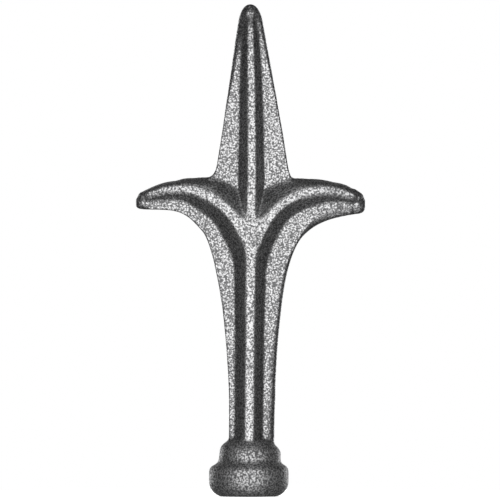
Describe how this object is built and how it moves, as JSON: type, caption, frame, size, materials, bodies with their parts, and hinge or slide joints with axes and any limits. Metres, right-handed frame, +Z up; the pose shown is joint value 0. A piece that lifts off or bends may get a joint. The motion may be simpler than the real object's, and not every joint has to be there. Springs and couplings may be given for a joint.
{
  "type": "fence spear point",
  "caption": "Cast iron spear point that tops a fence picket: round foot, flaring stem, two side arms and a tapering ridged blade.",
  "frame": {"origin": "middle of the flat underside of the foot", "axes": "+Z up towards the tip of the blade, +X along the right arm seen from the front, front faces -Y"},
  "size_m": [0.075, 0.0262, 0.1605],
  "materials": {
    "cast_iron": "raw shot-blasted casting, grainy"
  },
  "bodies": {
    "root": {"spear_point": "cast_iron"}
  },
  "joints": []
}
